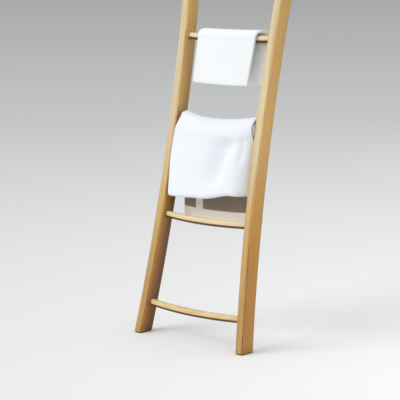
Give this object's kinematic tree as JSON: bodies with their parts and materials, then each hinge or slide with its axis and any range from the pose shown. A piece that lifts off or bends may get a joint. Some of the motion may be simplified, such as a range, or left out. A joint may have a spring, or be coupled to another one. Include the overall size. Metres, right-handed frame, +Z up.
{
  "type": "blanket ladder",
  "caption": "Leaning wooden blanket ladder with inward-bowed rails and curved rungs, a folded hand towel and a folded blanket hanging over them.",
  "frame": {"origin": "on the floor, in the middle of the object's width and depth, between the feet and the wall", "axes": "+X to the right seen from the front, +Y back towards the wall, +Z up"},
  "size_m": [0.486, 0.3352, 1.4775],
  "materials": {
    "wood": "oiled satin",
    "dowel_wood": "raw",
    "foot_rubber": "matte",
    "wall_felt": "felt",
    "towel_cloth": "soft woven",
    "blanket_cloth": "soft woven"
  },
  "bodies": {
    "ladder": {"dowels_rung_1": "dowel_wood", "dowels_rung_2": "dowel_wood", "dowels_rung_3": "dowel_wood", "dowels_rung_4": "dowel_wood", "dowels_rung_5": "dowel_wood", "foot_pad_left": "foot_rubber", "foot_pad_right": "foot_rubber", "rail_left": "wood", "rail_right": "wood", "rung_1": "wood", "rung_2": "wood", "rung_3": "wood", "rung_4": "wood", "rung_5": "wood", "wall_pad_left": "wall_felt", "wall_pad_right": "wall_felt"},
    "towel": {"hand_towel": "towel_cloth"},
    "throw": {"blanket": "blanket_cloth"}
  },
  "joints": [
    {"name": "towel_lift", "type": "slide", "parent": "ladder", "child": "towel", "axis": [0, 0, 1], "range_m": [0, 0.2]},
    {"name": "blanket_lift", "type": "slide", "parent": "ladder", "child": "throw", "axis": [0, 0, 1], "range_m": [0, 0.32]}
  ]
}
